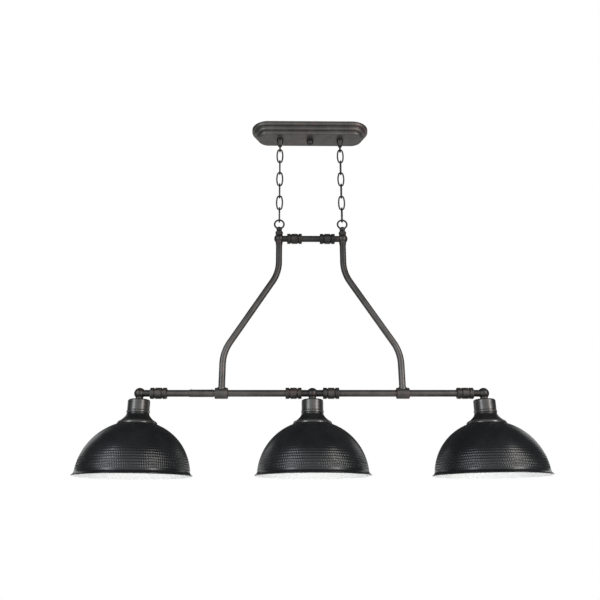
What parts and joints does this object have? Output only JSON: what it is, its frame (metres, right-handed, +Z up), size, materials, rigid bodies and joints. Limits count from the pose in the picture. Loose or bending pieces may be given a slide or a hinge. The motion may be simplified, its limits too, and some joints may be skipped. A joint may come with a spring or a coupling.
{
  "type": "linear island pendant",
  "caption": "Linear island pendant: stepped oblong canopy, two chains, trapezoid tube frame with turned fittings and downward dome shades along one bar.",
  "frame": {"origin": "middle of the mounting strap's top face, in the plane of the ceiling", "axes": "+Z up, +X along the bar to the viewer's right, -Y towards the viewer; the pendant hangs at negative Z"},
  "size_m": [1.239, 0.305, 1.0516],
  "materials": {
    "aged_bronze": "satin oil-rubbed bronze with faint copper rub-through",
    "bronze_grey": "satin dark bronze pan",
    "shade_black": "hammered satin black outside, white enamel inside",
    "zinc_steel": "zinc plate",
    "socket_body": "moulded phenolic",
    "brass": "bright screw shell",
    "ground_green": "green dyed screw"
  },
  "bodies": {
    "canopy": {"canopy_pan": "bronze_grey", "mounting_strap": "zinc_steel", "canopy_stud": "zinc_steel", "ground_screw": "ground_green", "loop_nuts": "zinc_steel", "canopy_loop_left": "aged_bronze", "canopy_loop_right": "aged_bronze"},
    "finial": {"finial_knob": "aged_bronze"},
    "link_left_1": {"chain_left_link_1": "aged_bronze"},
    "chain_run_left": {"chain_left_link_2": "aged_bronze", "chain_left_link_3": "aged_bronze", "chain_left_link_4": "aged_bronze", "chain_left_link_5": "aged_bronze"},
    "link_left_6": {"chain_left_link_6": "aged_bronze"},
    "link_right_1": {"chain_right_link_1": "aged_bronze"},
    "chain_run_right": {"chain_right_link_2": "aged_bronze", "chain_right_link_3": "aged_bronze", "chain_right_link_4": "aged_bronze", "chain_right_link_5": "aged_bronze"},
    "link_right_6": {"chain_right_link_6": "aged_bronze"},
    "frame": {"eye_loop_left": "aged_bronze", "top_ball_left": "aged_bronze", "top_coupling_left": "aged_bronze", "hanger_tube_left": "aged_bronze", "tee_clamp_left": "aged_bronze", "bar_tube_left": "aged_bronze", "inner_bar_coupling_left": "aged_bronze", "outer_bar_coupling_left": "aged_bronze", "eye_loop_right": "aged_bronze", "top_ball_right": "aged_bronze", "top_coupling_right": "aged_bronze", "hanger_tube_right": "aged_bronze", "tee_clamp_right": "aged_bronze", "bar_tube_right": "aged_bronze", "inner_bar_coupling_right": "aged_bronze", "outer_bar_coupling_right": "aged_bronze", "top_crossbar_tube": "aged_bronze", "tee_set_screws": "aged_bronze", "bar_sleeve": "aged_bronze", "socket_nipples": "zinc_steel", "socket_shells": "brass", "lamp_ball_left": "aged_bronze", "socket_cup_left": "aged_bronze", "shade_holder_left": "aged_bronze", "shade_left": "shade_black", "lamp_socket_left": "socket_body", "lamp_ball_centre": "aged_bronze", "socket_cup_centre": "aged_bronze", "shade_holder_centre": "aged_bronze", "shade_centre": "shade_black", "lamp_socket_centre": "socket_body", "lamp_ball_right": "aged_bronze", "socket_cup_right": "aged_bronze", "shade_holder_right": "aged_bronze", "shade_right": "shade_black", "lamp_socket_right": "socket_body"},
    "ring_left": {"shade_ring_left": "socket_body"},
    "ring_centre": {"shade_ring_centre": "socket_body"},
    "ring_right": {"shade_ring_right": "socket_body"}
  },
  "joints": [
    {"name": "swing_left", "type": "hinge", "parent": "canopy", "child": "link_left_1", "pos_m": [-0.094, 0, -0.06905], "axis": [1, 0, 0], "range_deg": [-25, 25]},
    {"name": "sway_left", "type": "hinge", "parent": "link_left_1", "child": "chain_run_left", "pos_m": [-0.094, 0, -0.1098], "axis": [0, 1, 0], "range_deg": [-18, 18]},
    {"name": "level_left", "type": "hinge", "parent": "chain_run_left", "child": "link_left_6", "pos_m": [-0.094, 0, -0.2728], "axis": [0, 1, 0], "range_deg": [-18, 18]},
    {"name": "swing_right", "type": "hinge", "parent": "canopy", "child": "link_right_1", "pos_m": [0.094, 0, -0.06905], "axis": [1, 0, 0], "range_deg": [-25, 25]},
    {"name": "sway_right", "type": "hinge", "parent": "link_right_1", "child": "chain_run_right", "pos_m": [0.094, 0, -0.1098], "axis": [0, 1, 0], "range_deg": [-18, 18]},
    {"name": "level_right", "type": "hinge", "parent": "chain_run_right", "child": "link_right_6", "pos_m": [0.094, 0, -0.2728], "axis": [0, 1, 0], "range_deg": [-18, 18]},
    {"name": "nod", "type": "hinge", "parent": "link_left_6", "child": "frame", "pos_m": [-0.094, 0, -0.31325], "axis": [1, 0, 0], "range_deg": [-15, 15]},
    {"name": "finial_turn", "type": "hinge", "parent": "canopy", "child": "finial", "pos_m": [0, 0, -0.034], "axis": [0, 0, 1], "continuous": true},
    {"name": "ring_turn_left", "type": "hinge", "parent": "frame", "child": "ring_left", "pos_m": [-0.467, 0, -0.91928], "axis": [0, 0, 1], "continuous": true},
    {"name": "ring_turn_centre", "type": "hinge", "parent": "frame", "child": "ring_centre", "pos_m": [0, 0, -0.91928], "axis": [0, 0, 1], "continuous": true},
    {"name": "ring_turn_right", "type": "hinge", "parent": "frame", "child": "ring_right", "pos_m": [0.467, 0, -0.91928], "axis": [0, 0, 1], "continuous": true}
  ],
  "couplings": [
    {"joint": "swing_right", "follows": "swing_left", "ratio": 1},
    {"joint": "sway_right", "follows": "sway_left", "ratio": 1},
    {"joint": "level_left", "follows": "sway_left", "ratio": -1},
    {"joint": "level_right", "follows": "sway_left", "ratio": -1}
  ]
}
